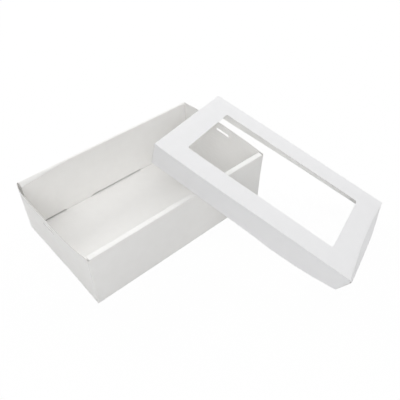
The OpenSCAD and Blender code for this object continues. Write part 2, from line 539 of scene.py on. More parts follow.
class Blank:
    """A flat cut sheet, lying in the XY plane until it is folded.

    Its outer side, its cut edges and its inner side each have a material slot.
    """

    SLOTS = 3
    # Two places closer than this are one.
    NEAR_ENOUGH = 1e-6
    # How far a ruled line stays from a corner, as a share of the corner's radius.
    CORNER_ROOM_SHARE = 1.15

    def __init__(self, name: str, low: Pair, high: Pair, cells: tuple[int, int]) -> None:
        """Cut a plain rectangle.

        Args:
            name: The piece's name.
            low: Its lowest corner.
            high: Its highest corner.
            cells: How many cells it is ruled into, each way.
        """
        select_none()
        bpy.ops.mesh.primitive_grid_add(
            x_subdivisions=cells[0],
            y_subdivisions=cells[1],
            size=1.0,
            location=((low[0] + high[0]) / 2, (low[1] + high[1]) / 2, 0.0),
        )
        self.object = bpy.context.object
        self.object.name = self.object.data.name = name
        for _ in range(self.SLOTS):
            self.object.data.materials.append(None)
        self.object.scale = (high[0] - low[0], high[1] - low[1], 1.0)
        bpy.ops.object.transform_apply(location=True, rotation=True, scale=True)

    @property
    def mesh(self) -> bpy.types.Mesh:
        """The sheet's mesh."""
        return self.object.data

    def _take(self) -> None:
        """Make this sheet the only one that an operator acts on."""
        select_none()
        self.object.select_set(True)
        bpy.context.view_layer.objects.active = self.object

    @contextmanager
    def _editing(self, pick: Pick = Pick.CELLS) -> Iterator[None]:
        """Work on this sheet in edit mode, and leave it at the end.

        Args:
            pick: What gets selected.

        Yields:
            Nothing; the work is done inside.
        """
        self._take()
        bpy.ops.object.mode_set(mode="EDIT")
        bpy.ops.mesh.select_mode(type=pick.value)
        yield
        bpy.ops.object.mode_set(mode="OBJECT")

    def _select(self, pick: Pick, wanted: Callable[[Vector], bool]) -> None:
        """Select the points or cells that are wanted, and nothing else.

        Args:
            pick: Whether points or cells get selected.
            wanted: Says whether a point, or a cell with its middle there, is wanted.
        """
        with self._editing(pick):
            bpy.ops.mesh.select_all(action="DESELECT")
        if pick is Pick.POINTS:
            for vertex in self.mesh.vertices:
                vertex.select = wanted(vertex.co)
        else:
            for polygon in self.mesh.polygons:
                polygon.select = wanted(polygon.center)

    def _bisect(self, spot: Pair, normal: Pair, trims: bool = False) -> None:
        """Cut the whole sheet along a line, and drop what is beyond it if it trims."""
        bpy.ops.mesh.select_all(action="SELECT")
        bpy.ops.mesh.bisect(plane_co=(*spot, 0.0), plane_no=(*normal, 0.0), clear_outer=trims)

    def rule(self, across: Iterable[float] = (), along: Iterable[float] = ()) -> Blank:
        """Rule lines on the sheet.

        Args:
            across: Places along X at which a line crosses the sheet.
            along: Places along Y at which a line runs along it.

        Returns:
            This sheet.
        """
        with self._editing():
            for x in across:
                self._bisect((x, 0.0), (1.0, 0.0))
            for y in along:
                self._bisect((0.0, y), (0.0, 1.0))
        return self

    def trim(self, spot: Pair, away: Pair) -> Blank:
        """Cut off all that lies beyond a straight line.

        Args:
            spot: A point on the line.
            away: The direction of the waste.

        Returns:
            This sheet.
        """
        with self._editing():
            self._bisect(spot, away, trims=True)
        return self

    def punch(self, low: Pair, high: Pair, radius: float, cuts: int = 5) -> Blank:
        """Cut a rectangular hole with rounded corners.

        Args:
            low: The hole's lowest corner.
            high: Its highest corner.
            radius: The radius of its corners.
            cuts: How many edges each rounded corner has.

        Returns:
            This sheet.
        """
        self.rule((low[0], high[0]), (low[1], high[1]))
        corners = [(x, y) for x in (low[0], high[0]) for y in (low[1], high[1])]
        for corner in corners:
            self._make_room(corner, radius * self.CORNER_ROOM_SHARE)
        self._select(
            Pick.POINTS,
            lambda at: any((at.xy - Vector(c)).length < self.NEAR_ENOUGH for c in corners),
        )
        with self._editing(Pick.POINTS):
            bpy.ops.mesh.bevel(
                offset=radius, segments=cuts, profile=0.5, affect="VERTICES", clamp_overlap=False
            )

        def in_hole(x: float, y: float) -> bool:
            """Return whether a place lies inside the hole.

            Args:
                x: The place across the sheet.
                y: The place along it.

            Returns:
                Whether it is cut away, inside the rounded corners.
            """
            if not (low[0] < x < high[0] and low[1] < y < high[1]):
                return False
            cx = clamp(x, low[0] + radius, high[0] - radius)
            cy = clamp(y, low[1] + radius, high[1] - radius)
            return cx == x or cy == y or math.hypot(x - cx, y - cy) <= radius

        return self.clear(in_hole)

    def _make_room(self, corner: Pair, room: float) -> None:
        """Move the ruled lines that pass a corner too closely to be rounded.

        Args:
            corner: The corner.
            room: How far from it the nearest lines have to stay.
        """
        for vertex in self.mesh.vertices:
            for axis in (0, 1):
                gap = vertex.co[axis] - corner[axis]
                if self.NEAR_ENOUGH < abs(gap) < room:
                    vertex.co[axis] = corner[axis] + math.copysign(room, gap)

    def clear(self, waste: Callable[[float, float], bool]) -> Blank:
        """Remove the cells whose middle is waste.

        Args:
            waste: Says whether a place on the sheet is waste.

        Returns:
            This sheet.
        """
        self._select(Pick.CELLS, lambda at: waste(at.x, at.y))
        with self._editing():
            bpy.ops.mesh.delete(type="FACE")
        return self

    def mark(self, worn: Callable[[float, float], float]) -> Blank:
        """Store how worn or creased the sheet is.

        Args:
            worn: Gives it for a place on the sheet, from 0 to 1.

        Returns:
            This sheet.
        """
        values = [worn(v.co.x, v.co.y) for v in self.mesh.vertices]
        layer = self.mesh.attributes.new("crease", "FLOAT", "POINT")
        layer.data.foreach_set("value", values)
        return self

    def fold(self, shape: Callable[[float, float], Triple], outside: Face) -> Blank:
        """Bring the flat sheet into its folded place.

        Args:
            shape: Gives the place in the object of each point of the sheet.
            outside: The way that most of its outer side looks, in the same frame.

        Returns:
            This sheet.
        """
        for vertex in self.mesh.vertices:
            vertex.co = Vector(shape(vertex.co.x, vertex.co.y))
        self.mesh.update()
        way = Vector(outside.value)
        if sum(p.normal.dot(way) * p.area for p in self.mesh.polygons) < 0:
            with self._editing():
                bpy.ops.mesh.select_all(action="SELECT")
                bpy.ops.mesh.flip_normals()
        return self

    def put(self, matrix: Matrix) -> Blank:
        """Move the folded sheet as a whole, and apply the move to its mesh.

        Args:
            matrix: The move.

        Returns:
            This sheet.
        """
        self._take()
        self.object.matrix_world = matrix
        bpy.ops.object.transform_apply(location=True, rotation=True, scale=True)
        return self

    def thicken(self, thickness: float, smooth: float = math.radians(32.0)) -> Blank:
        """Give the sheet its thickness, behind its outer side.

        Args:
            thickness: The board's thickness.
            smooth: The angle up to which a fold is shaded smooth.

        Returns:
            This sheet.
        """
        self._take()
        solid = self.object.modifiers.new("thickness", "SOLIDIFY")
        solid.thickness = thickness
        solid.offset = -1.0
        solid.use_even_offset = True
        solid.use_quality_normals = True
        solid.material_offset_rim, solid.material_offset = 1, 2
        bpy.ops.object.modifier_apply(modifier=solid.name)
        bpy.ops.object.shade_smooth_by_angle(angle=smooth)
        return self


@dataclass(frozen=True)
class Dressing:
    """The materials of a piece's outer side, cut edges and inner side, and its slot."""

    board: bpy.types.Material
    edge: bpy.types.Material
    back: bpy.types.Material
    slot: str
    bend_run: float = 24 * MM

    def give(self, blank: Blank, body: str, node: str, held: float | None = None) -> None:
        """Dress a finished piece and let it ride on its body, unless it is held.

        Args:
            blank: The finished piece.
            body: The body that it moves with.
            node: The solid that it stands for.
            held: Where one end of it is held, along Y, if it is. A held piece is attached to no
                body: its place is baked into its mesh.
        """
        piece = blank.object
        for place, material in enumerate((self.board, self.edge, self.back)):
            piece.data.materials[place] = material
        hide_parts(node)
        if held is None:
            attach(piece, body)
        else:
            free = held - math.copysign(self.bend_run, held)
            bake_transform(piece)
        LOG.info("%s: %d faces on %s", piece.name, len(piece.data.polygons), body)


@dataclass(frozen=True)
class Board:
    """The sizes that every folded board shares."""

    thickness: float
    fold: float = 0.8 * MM
    foot_fold: float = 0.6 * MM
    cell: float = 4 * MM

    def cells(self, *lengths: float) -> tuple[int, ...]:
        """Return how many cells each length is ruled into."""
        return tuple(max(1, round(length / self.cell)) for length in lengths)


def creased(s: float, lines: Iterable[float], reach: float = 1.2 * MM) -> float:
    """Return 1 on any of the lines, falling to 0 at a distance from them."""
    gap = min(abs(s - line) for line in lines)
    return max(0.0, 1.0 - gap / reach) ** 2


# Tray


class Side(Enum):
    """The two long sides, by the sign of their Y."""

    NEAR = -1
    FAR = 1

    @property
    def out(self) -> Face:
        """The way out of the box on this side."""
        return Face.SOUTH if self is Side.NEAR else Face.NORTH

    @property
    def back(self) -> Face:
        """The way into the box from this side."""
        return Face.NORTH if self is Side.NEAR else Face.SOUTH


class End(Enum):
    """The two short ends, by the sign of their X."""

    LEFT = -1
    RIGHT = 1

    @property
    def out(self) -> Face:
        """The way out of the box at this end."""
        return Face.WEST if self is End.LEFT else Face.EAST


@dataclass(frozen=True)
class BoxSizes:
    """The driving sizes of the box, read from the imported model."""

    length: float
    width: float
    height: float
    board: float
    near_rim: float
    far_rim: float
    rim_half: float
    foot_in: float
    end_half: float
    end_top: float

    @classmethod
    def read(cls) -> BoxSizes:
        """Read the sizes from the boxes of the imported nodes.

        Returns:
            The sizes, in metres.
        """
        outer, rim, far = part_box("near_outer_wall"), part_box("near_rim"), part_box("far_rim")
        inner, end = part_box("far_inner_wall"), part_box("right_end_wall")
        return cls(
            length=outer[1].x - outer[0].x,
            width=far[1].y - rim[0].y,
            height=rim[1].z,
            board=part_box("tray_floor")[1].z,
            near_rim=rim[1].y - rim[0].y,
            far_rim=far[1].y - far[0].y,
            rim_half=rim[1].x,
            foot_in=far[1].y - inner[0].y,
            end_half=end[1].y,
            end_top=end[1].x,
        )


@dataclass(frozen=True)
class Tabs:
    """The two locking tabs under an inner wall, one on each side of the middle."""

    start: float = 31.5 * MM
    length: float = 31.5 * MM
    rise: float = 0.1 * MM
    slit_room: float = 0.3 * MM
    slit_in: float = 56.6 * MM
    slit_width: float = 0.8 * MM

    def edges(self, room: float = 0.0) -> Pair:
        """Return where a tab begins and ends, with some room on both sides."""
        return self.start - room, self.start + self.length + room


@dataclass(frozen=True)
class LongWallForm:
    """How one long wall stands, as a board folded by hand does.

    The tables run along the wall. The two pairs of ends say how far the rim and
    the inner panel reach past the solid rim, at the left and at the right.
    """

    rim_widths: Table
    rim_dips: Table
    rim_fold: float
    rim_ends: Pair
    inner_ends: Pair
    lean_in: float = 0.0


NEAR_WALL = LongWallForm(
    rim_widths=in_mm((-96, 5.4), (-60, 5.2), (-20, 5.0), (20, 5.7), (100, 5.7)),
    rim_dips=LEVEL,
    rim_fold=0.8 * MM,
    rim_ends=(-0.6 * MM, 0.6 * MM),
    inner_ends=(-1.2 * MM, 0.0),
    lean_in=0.8 * MM,
)
FAR_WALL = LongWallForm(
    rim_widths=in_mm((-100, 4.4), (-84, 3.8), (-66, 3.0), (-48, 2.4)),
    rim_dips=in_mm((-100, 3.4), (-84, 2.4), (-66, 0.85), (-48, 0.0)),
    rim_fold=1.2 * MM,
    rim_ends=(-0.1 * MM, 0.5 * MM),
    inner_ends=(-0.1 * MM, 0.5 * MM),
)


@dataclass
class LongWall:
    """A hollow long wall: the outer panel, the flat rim and the inner panel with its tabs."""

    side: Side
    form: LongWallForm
    board: Board
    sizes: BoxSizes
    tabs: Tabs
    dressing: Dressing
    foot_gap: float = 1.5 * MM
    turn_in: float = 1.2 * MM
    outer_swell: float = 0.5 * MM
    inner_swell: float = 0.35 * MM
    cockle: float = 0.12 * MM
    cockle_run: float = 13 * MM
    worn_reach: float = 1.6 * MM

    def __post_init__(self) -> None:
        """Work out the fold's line, which runs inwards from the outer face, and up."""
        sizes = self.sizes
        self.rim_width = sizes.near_rim if self.side is Side.NEAR else sizes.far_rim
        drop = sizes.height - (self.board.thickness + self.foot_gap)
        fall_share = (sizes.height - self.tabs.rise) / drop
        reach = self.rim_width - (self.rim_width - sizes.foot_in) * fall_share
        self.line = Path2D(
            [
                (self.turn_in, 0.0),
                (0.0, 0.0),
                (0.0, sizes.height),
                (self.rim_width, sizes.height),
                (reach, self.tabs.rise),
            ],
            self.board.foot_fold,
            self.board.fold,
            self.form.rim_fold,
        )

    def _shape(self, x: float, s: float) -> Triple:
        """Fold a point of the strip into place.

        Args:
            x: Its place along the wall.
            s: Its length along the fold's line.

        Returns:
            Its place in the object.
        """
        inwards, z = self.line.at(s)
        length, height = self.sizes.length, self.sizes.height
        along = math.cos(math.pi * x / length) if abs(x) < length / 2 else 0.0
        high_share = clamp(z / height)
        belly = along * math.sin(math.pi * high_share) ** 2
        inside = s > self.line.end(3)
        if s < self.line.start(2):
            inwards -= self.outer_swell * belly
        else:
            over_share = high_share if inside else min(1.0, inwards / self.rim_width)
            inwards += (eased(self.form.rim_widths, x) - self.rim_width) * over_share
            z -= eased(self.form.rim_dips, x) * over_share
        if inside:
            inwards += self.inner_swell * belly
        inwards += self.form.lean_in * high_share
        upright = math.sin(math.pi * min(1.0, z / height)) ** 2
        z += self.cockle * math.sin(x / self.cockle_run) * upright
        return x, (self.sizes.width / 2 - inwards) * self.side.value, z

    def _strip(self, part: str, ends: Pair, run: Pair, out: Face) -> None:
        """Make one panel of the wall.

        Args:
            part: The panel's name within the wall.
            ends: Where it begins and ends along the wall.
            run: Where it begins and ends along the fold's line.
            out: The way that its outer side looks.
        """
        node = f"{self.side.name.lower()}_{part}"
        columns, rows = self.board.cells(self.sizes.length, run[1] - run[0])
        if part == "rim":
            rows = 1
        blank = Blank(f"{node}_board", (ends[0], run[0]), (ends[1], run[1]), (columns, rows))
        blank.rule(along=self.line.bend_lines(*run))
        if part == "inner_wall":
            start, stop = self.tabs.edges()
            foot = run[1] - self.foot_gap - self.board.thickness + self.tabs.rise
            blank.rule([-stop, -start, start, stop], [foot])
            blank.clear(lambda x, s: s > foot and not start < abs(x) < stop)
        blank.mark(lambda x, s: creased(s, self.line.places[1:3], self.worn_reach))
        blank.fold(self._shape, out).thicken(self.board.thickness)
        self.dressing.give(blank, "tray", node)

    def build(self) -> None:
        """Make the wall's three pieces."""
        up, over, end = self.line.start(2), self.line.end(3), self.line.places[-1]
        half = self.sizes.length / 2
        rim, inner = (
            (-(self.sizes.rim_half + left), self.sizes.rim_half + right)
            for left, right in (self.form.rim_ends, self.form.inner_ends)
        )
        self._strip("outer_wall", (-half, half), (0.0, up), self.side.out)
        self._strip("rim", rim, (up, over), Face.UP)
        self._strip("inner_wall", inner, (over, end), self.side.back)


@dataclass(frozen=True)
class EndWallForm:
    """How one end wall stands: its bow along its top and foot, its slot and its flaps."""

    bow: Table
    foot_bow: Table
    slot_length: float
    slot_height: float
    slot_drop: float
    far_belly: float = 0.0
    near_drop: float = 0.0
    fixed_side: Side | None = None


LEFT_END = EndWallForm(
    bow=in_mm(
        (-60, 0.0), (-57, 0.1), (-52, 0.8), (-46, 1.9), (-38, 2.6), (-28, 3.4), (-14, 3.6),
        (0, 3.7), (14, 4.1), (29, 4.3), (46, 3.9), (53, 3.1), (57, 1.9), (60, 0.7),
    ),
    foot_bow=in_mm((-10, 0.0), (10, 0.6), (28, 0.7), (40, 0.95), (52, 1.3)),
    slot_length=18 * MM,
    slot_height=2 * MM,
    slot_drop=9.6 * MM,
    far_belly=1.2 * MM,
    near_drop=2 * MM,
)
RIGHT_END = EndWallForm(
    bow=in_mm((-60, 1.7), (-33, 3.3), (0, 4.0), (38, 2.3), (56, 0.4), (60, 0.2)),
    foot_bow=LEVEL,
    slot_length=19 * MM,
    slot_height=3 * MM,
    slot_drop=9 * MM,
    fixed_side=Side.FAR,
)


@dataclass
class EndWall:
    """An end wall that leans and bows out, with its slot and its two tucked flaps."""

    end: End
    form: EndWallForm
    board: Board
    sizes: BoxSizes
    dressing: Dressing
    belly_share: float = 0.08
    slot_round_share: float = 0.96
    foot_height: float = 0.05 * MM
    turn_in: float = 1 * MM
    flap: float = 36 * MM
    flap_room: float = 0.2 * MM
    flap_top: Pair = (2.2 * MM, 13 * MM)
    flap_foot: Pair = (2.5 * MM, 6 * MM)
    flap_root: float = 1 * MM
    swell_powers: Pair = (0.4, 0.8)
    worn_reach: float = 1.4 * MM

    def __post_init__(self) -> None:
        """Work out the sheet's lines: round the corners, and up from the crease."""
        half, reach = self.sizes.end_half, self.flap + self.flap_room
        self.plan = Path2D(
            [(reach, -half), (0.0, -half), (0.0, half), (reach, half)],
            self.board.fold,
            self.board.fold,
        )
        self.rise = Path2D(
            [
                (self.turn_in, self.foot_height),
                (0.0, self.foot_height),
                (0.0, self.sizes.height),
            ],
            self.board.foot_fold,
        )
        self.start, self.stop, self.top = self.plan.start(1), self.plan.end(2), self.rise.places[-1]
        self.name = self.end.name.lower()

    def _lean(self, y: float, z: float) -> float:
        """Work out how far the wall stands out at a point.

        Args:
            y: The point's place across the box.
            z: Its height.

        Returns:
            The distance outwards from the upright plane over the foot's crease.
        """
        high_share = clamp(z / self.sizes.height)
        bow_share = high_share + self.belly_share * math.sin(math.pi * high_share)
        bow, foot_bow = eased(self.form.bow, y), eased(self.form.foot_bow, y)
        return bow * bow_share + foot_bow * (1.0 - high_share)

    def _flap_swell(self, share: float) -> float:
        """Return how far the far flap swells into the hollow wall, at a share of its length."""
        early, flat = self.swell_powers
        return self.form.far_belly * max(0.0, math.sin(math.pi * min(1.0, share) ** early)) ** flat

    def _shape(self, s: float, v: float) -> Triple:
        """Fold a point of the sheet into place.

        Args:
            s: Its length round the two corners, from the near flap's tip.
            v: Its length up from the turned-in foot.

        Returns:
            Its place in the object.
        """
        inwards, y = self.plan.at(s)
        tucked, z = self.rise.at(v)
        edge = clamp(y, -self.sizes.end_half, self.sizes.end_half)
        free_share = 1.0 - min(1.0, tucked / self.turn_in)
        x = self.sizes.length / 2 - tucked + self._lean(edge, z) * free_share - inwards
        if inwards > self.flap_root:
            z += inwards * eased(self.form.bow, edge) / self.sizes.height
            if y > 0:
                y -= self._flap_swell(inwards / self.flap)
        return x * self.end.value, y, z

    def _worn(self, s: float, v: float) -> float:
        """Return how creased the sheet is at a point."""
        return max(
            creased(s, self.plan.places[1:3], self.worn_reach),
            creased(v, self.rise.places[1:2], self.worn_reach),
        )

    def build(self) -> None:
        """Make the wall and its two flaps."""
        self._wall()
        for side in Side:
            self._flap(side)

    def _wall(self) -> None:
        """Make the wall and punch its slot."""
        form, low, high = self.form, (self.start, 0.0), (self.stop, self.top)
        cells = self.board.cells(self.stop - self.start, self.top)
        wall = Blank(f"{self.name}_end_wall_board", low, high, cells)
        wall.rule(self.plan.bend_lines(self.start, self.stop), self.rise.bend_lines(0.0, self.top))
        middle = (self.plan.places[1] + self.plan.places[2]) / 2
        rise = self.top - form.slot_drop
        half_l, half_h = form.slot_length / 2, form.slot_height / 2
        wall.punch(
            (middle - half_l, rise - half_h),
            (middle + half_l, rise + half_h),
            half_h * self.slot_round_share,
        )
        wall.mark(self._worn).fold(self._shape, self.end.out).thicken(self.board.thickness)
        held = form.fixed_side.value * self.sizes.end_half if form.fixed_side else None
        self.dressing.give(wall, f"{self.name}_end", f"{self.name}_end_wall", held)

    def _flap(self, side: Side) -> None:
        """Make one flap and trim its top and foot, which taper from root to tip.

        Args:
            side: The long wall that it is tucked into.
        """
        near, height = side is Side.NEAR, self.sizes.height
        node = f"{self.name}_{side.name.lower()}_flap"
        low, high = (0.0, self.start) if near else (self.stop, self.plan.places[-1])
        tip, root = (low, high) if near else (high, low)
        cells = self.board.cells(self.flap, self.top)
        flap = Blank(f"{node}_board", (low, 0.0), (high, self.top), cells)
        drop = self.flap_top[0] + (self.form.near_drop if near else 0.0)
        tapers = (
            (height - drop, height - self.flap_top[1], 1),
            (self.flap_foot[0], self.flap_foot[1], -1),
        )
        for at_root, at_tip, up in tapers:
            run = tip - root
            away = Vector((at_root - at_tip, run)).normalized() * (1 if run > 0 else -1) * up
            flap.trim((root, at_root + self.turn_in), (away.x, away.y))
        flap.mark(self._worn).fold(self._shape, side.out).thicken(self.board.thickness)
        self.dressing.give(flap, f"{self.name}_end", node)


@dataclass
class TrayFloor:
    """The tray's floor, with the slits that the inner walls' tabs lock into."""

    board: Board
    sizes: BoxSizes
    tabs: Tabs
    dressing: Dressing
    inset: Pair = (0.6 * MM, 1.25 * MM)
    rise: float = 0.5 * MM
    ripple: float = 0.12 * MM
    ripple_run: Pair = (21 * MM, 17 * MM)
    ripple_phase: float = 1.0

    def __post_init__(self) -> None:
        """Work out the floor's half sizes."""
        self.half_l = self.sizes.length / 2 - self.inset[0]
        self.half_w = self.sizes.width / 2 - self.inset[1]

    def _shape(self, x: float, y: float) -> Triple:
        """Raise a point of the floor a little, most of all in its middle.

        Args:
            x: The point's place along the box.
            y: Its place across the box.

        Returns:
            Its place in the object.
        """
        across, along = math.pi * x / (2 * self.half_l), math.pi * y / (2 * self.half_w)
        swell_share = max(0.0, math.cos(across) * math.cos(along))
        wave = math.sin(x / self.ripple_run[0] + self.ripple_phase)
        wave *= math.sin(y / self.ripple_run[1])
        return x, y, self.board.thickness + swell_share * (self.rise + self.ripple * wave)

    def _worn(self, x: float, y: float) -> float:
        """Return how creased the floor is at a point."""
        return max(creased(abs(x), [self.half_l]), creased(abs(y), [self.half_w]))

    def build(self) -> None:
        """Make the floor."""
        low, high = (-self.half_l, -self.half_w), (self.half_l, self.half_w)
        floor = Blank("tray_floor_board", low, high, self.board.cells(2 * high[0], 2 * high[1]))
        xs = self.tabs.edges(self.tabs.slit_room)
        ys = (self.tabs.slit_in, self.tabs.slit_in + self.tabs.slit_width)
        floor.rule([-xs[1], -xs[0], *xs], [-ys[1], -ys[0], *ys])
        floor.clear(lambda x, y: xs[0] < abs(x) < xs[1] and ys[0] < abs(y) < ys[1])
        floor.mark(self._worn).fold(self._shape, Face.UP).thicken(self.board.thickness)
        self.dressing.give(floor, "tray", "tray_floor")


# Lid


@dataclass(frozen=True)
class LidPose:
    """How the lid leans: on the near wall's rim, on the right end wall, and on one corner."""

    sizes: BoxSizes
    length: float
    width: float
    room: float
    seat_turn: float = math.radians(44.65)
    seat_skew: float = math.radians(62.8)
    rest_gap: float = 0.3 * MM

    def matrix(self) -> Matrix:
        """Return the place of the lid's frame: its middle, at its skirts' bottom edges.

        Returns:
            The matrix from the lid's frame to the object's.
        """
        turn, skew = self.seat_turn, self.seat_skew
        height = self.sizes.height + self.rest_gap
        reach = self.length * math.sin(skew) + self.width * math.cos(skew)
        mix = math.sin(skew) * math.cos(skew)
        span = self.room * reach / (height * math.sin(2 * turn) / 2 + self.room * mix)
        tilt = math.asin(height / (reach - span * mix))
        seat = Matrix.Translation(
            (self.sizes.end_top - span * math.cos(turn), -self.sizes.width / 2, height)
        )
        middle = Matrix.Translation(
            (self.length / 2 - span * math.cos(skew), self.width / 2, 0.0)
        )
        return (
            seat
            @ Matrix.Rotation(turn, 4, "Z")
            @ Matrix.Rotation(tilt, 4, "X")
            @ Matrix.Rotation(skew - math.pi, 4, "Z")
            @ middle
        )


@dataclass(frozen=True)
class LidForm:
    """How the lid's skirts and creases are bent.

    The tables of the two long sides run along the lid, and say how far a skirt's
    bottom edge and its crease stand out. Those of the lower end run over shares
    of the lid's width from its far side: how far its crease stands back, and how
    far out and down its lip is.
    """

    bottom_out: dict[Side, Table]
    crease_out: dict[Side, Table]
    crease_in_at_shares: Table
    lip_out_at_shares: Table
    lip_down_at_shares: Table


LEANING_LID = LidForm(
    bottom_out={
        Side.NEAR: in_mm(
            (-101, 0.6), (-4, 1.8), (14, 2.2), (36, 3.3), (60, 2.7), (76, 1.3), (90, -0.9),
            (101, -2.4),
        ),
        Side.FAR: in_mm(
            (-101, -2.2), (-72, -1.9), (-47, -0.4), (-20, 0.8), (14, 2.0), (44, 2.4), (73, 3.4),
            (101, 3.0),
        ),
    },
    crease_out={
        Side.NEAR: in_mm(
            (-101, 0.0), (-85, 0.8), (-50, 1.1), (-15, 0.9), (12, 0.4), (60, 0.2), (101, 0.0)
        ),
        Side.FAR: in_mm((-101, -1.6), (-72, -0.9), (-30, 0.0), (40, 0.3), (101, 0.9)),
    },
    crease_in_at_shares=in_mm(
        (0.0, 0.0), (0.14, 0.9), (0.3, 1.9), (0.48, 1.8), (0.61, 1.3), (0.74, 0.1),
        (0.86, -0.9), (1.0, -1.7), step=1.0,
    ),
    lip_out_at_shares=in_mm(
        (0.0, -0.4), (0.1, 0.8), (0.26, 2.9), (0.42, 4.1), (0.5, 4.4), (0.86, 4.7),
        (0.94, 4.6), (1.0, 4.1), step=1.0,
    ),
    lip_down_at_shares=in_mm((0.0, 0.3), (0.28, 2.1), (0.85, 2.1), (1.0, 1.0), step=1.0),
)


@dataclass
class Lid:
    """The shallow lid: its windowed panel, four skirts, glued flaps and film."""

    board: Board
    sizes: BoxSizes
    dressing: Dressing
    film_dressing: Dressing
    form: LidForm = LEANING_LID
    play: float = 0.6 * MM
    depth: float = 20.6 * MM
    window: Pair = (156 * MM, 79 * MM)
    window_radius: float = 2.2 * MM
    flap: float = 22 * MM
    flap_trim: float = 1.2 * MM
    film: float = 0.15 * MM
    film_lap: float = 6 * MM
    film_gap: float = 0.02 * MM
    film_sag: float = 0.12 * MM
    film_chamfer: float = 1 * MM
    film_wave_run: float = 19 * MM
    film_wave_share: float = 0.5
    film_edge_power: int = 4
    film_cells: tuple[int, int] = (24, 14)
    glue_run: float = 2 * MM
    corner_gap: float = 0.3 * MM
    fold: float = 0.5 * MM
    panel_bend_share: float = 0.98
    skirt_bend_share: float = 0.7
    sag: float = 0.25 * MM
    sag_run: Pair = (31 * MM, 40 * MM)
    sag_edge: float = 8 * MM
    crease_run: float = 10 * MM
    upper_run: float = 30 * MM
    lower_run: float = 14 * MM
    lip_fold: float = 1 * MM
    lip_share: float = 0.2
    lip_lines: Sequence[float] = tuple(
        step * MM for step in (-1.0, -0.7, -0.4, -0.15, 0.1, 0.4, 0.8, 1.3)
    )
    near_tuck: float = 1.1 * MM
    near_tuck_rate: float = 1.6
    tuck_power: float = 1.5
    upper_tuck: float = 3.8 * MM
    upper_power: float = 1.2
    side_power: float = 1.4
    crease_power: float = 1.5
    panel_edge_power: int = 4
    skirt_edge_power: int = 3
    upper_free: float = 49 * MM
    edge_reach: float = 0.8 * MM
    rows: int = 8
    upper_rows: int = 6
    window_cuts: int = 6
    corner_cuts: int = 4

    def __post_init__(self) -> None:
        """Work out the lid's sizes, its place and the lines of its panel."""
        fit = 2 * (self.board.thickness + self.play)
        self.length, self.width = self.sizes.length + fit, self.sizes.width + fit
        self.half_l, self.half_w = self.length / 2, self.width / 2
        room = self.depth - self.board.thickness - self.film - self.corner_gap
        self.place = LidPose(self.sizes, self.length, self.width, room).matrix()
        self.bend = self.fold * self.panel_bend_share
        low, top = self.depth - self.fold, self.depth
        self.along = Path2D(
            [(-self.half_l, low), (-self.half_l, top), (self.half_l, top)], self.bend
        )
        self.across = Path2D(
            [(-self.half_w, low), (-self.half_w, top), (self.half_w, top), (self.half_w, low)],
            self.bend,
            self.bend,
        )

    def _down_share(self, down: float) -> float:
        """Return how far down the skirt a depth under the lid's top lies, from 0 to 1."""
        return clamp(down / self.depth)

    def _crease_in(self, y: float) -> float:
        """Return how far the lower crease stands back at a place across the lid."""
        return eased(self.form.crease_in_at_shares, 0.5 - y / self.width)

    def _side_out(self, side: Side, x: float, down: float) -> float:
        """Work out how far a long skirt stands out from its upright plane.

        Args:
            side: The skirt's side.
            x: The place along the lid.
            down: The depth under the lid's top.

        Returns:
            The distance outwards.
        """
        share = self._down_share(down)
        bottom, crease = eased(self.form.bottom_out[side], x), eased(self.form.crease_out[side], x)
        return bottom * share**self.side_power + crease * (1.0 - share)

    def _edge_out(self, x: float, y: float, down: float, power: int) -> float:
        """Work out how far the long skirts draw a point between them along.

        Args:
            x: The point's place along the lid.
            y: Its place across the lid.
            down: Its depth under the lid's top.
            power: How closely that keeps to the edges.

        Returns:
            The shift along Y.
        """
        out = self._side_out(Side.NEAR if y < 0 else Side.FAR, x, down)
        return out * math.copysign(1.0, y) * min(1.0, abs(y) / self.half_w) ** power

    def _upper_in(self, y: float, down: float) -> float:
        """Return how far the upper skirt is tucked in at a place and a depth."""
        near_share = clamp((self.upper_free - y) / (self.upper_free + self.half_w))
        return self.upper_tuck * near_share * self._down_share(down) ** self.upper_power

    def _lower_profile(self, y: float) -> Path2D:
        """Return the lower skirt's section at a place: out past the crease, and down.

        Args:
            y: The place across the lid.

        Returns:
            The line from the crease over the skirt's lip to its bottom edge.
        """
        share = clamp(0.5 - y / self.width)
        tuck_share = max(0.0, 1.0 - self.near_tuck_rate * (1.0 - share)) ** self.tuck_power
        lip = eased(self.form.lip_out_at_shares, share), eased(self.form.lip_down_at_shares, share)
        crease = -eased(self.form.crease_in_at_shares, share), 0.0
        return Path2D([crease, lip, (-self.near_tuck * tuck_share, self.depth)], self.lip_fold)

    def _lower_out(self, y: float, down: float) -> float:
        """Work out how far the lower skirt bulges out.

        Args:
            y: The place across the lid.
            down: The depth under the lid's top.

        Returns:
            The distance outwards.
        """
        crease, lip, bottom = self._lower_profile(y).points
        if down < lip.y:
            return crease.x + (lip.x - crease.x) * max(0.0, down) / lip.y
        past = self._down_share(down - lip.y) * self.depth
        return lip.x + (bottom.x - lip.x) * past / (self.depth - lip.y)

    def _panel_shape(self, s: float, v: float) -> Triple:
        """Fold a point of the panel into place.

        Args:
            s: Its length along the lid, from the upper edge.
            v: Its length across the lid, from the near edge.

        Returns:
            Its place in the lid's frame.
        """
        x, from_along = self.along.at(s)
        y, from_across = self.across.at(v)
        edge_share = clamp((x - self.half_l) / self.crease_run + 1) ** self.crease_power
        x -= edge_share * self._crease_in(y)
        y += self._edge_out(x, y, 0.0, self.panel_edge_power)
        wave = self.sag * math.sin(x / self.sag_run[0]) * math.cos(y / self.sag_run[1])
        free_share = clamp((self.half_l - abs(x)) / self.sag_edge) * clamp(
            (self.half_w - abs(y)) / self.sag_edge
        )
        return x, y, from_along + from_across - self.depth + wave * free_share

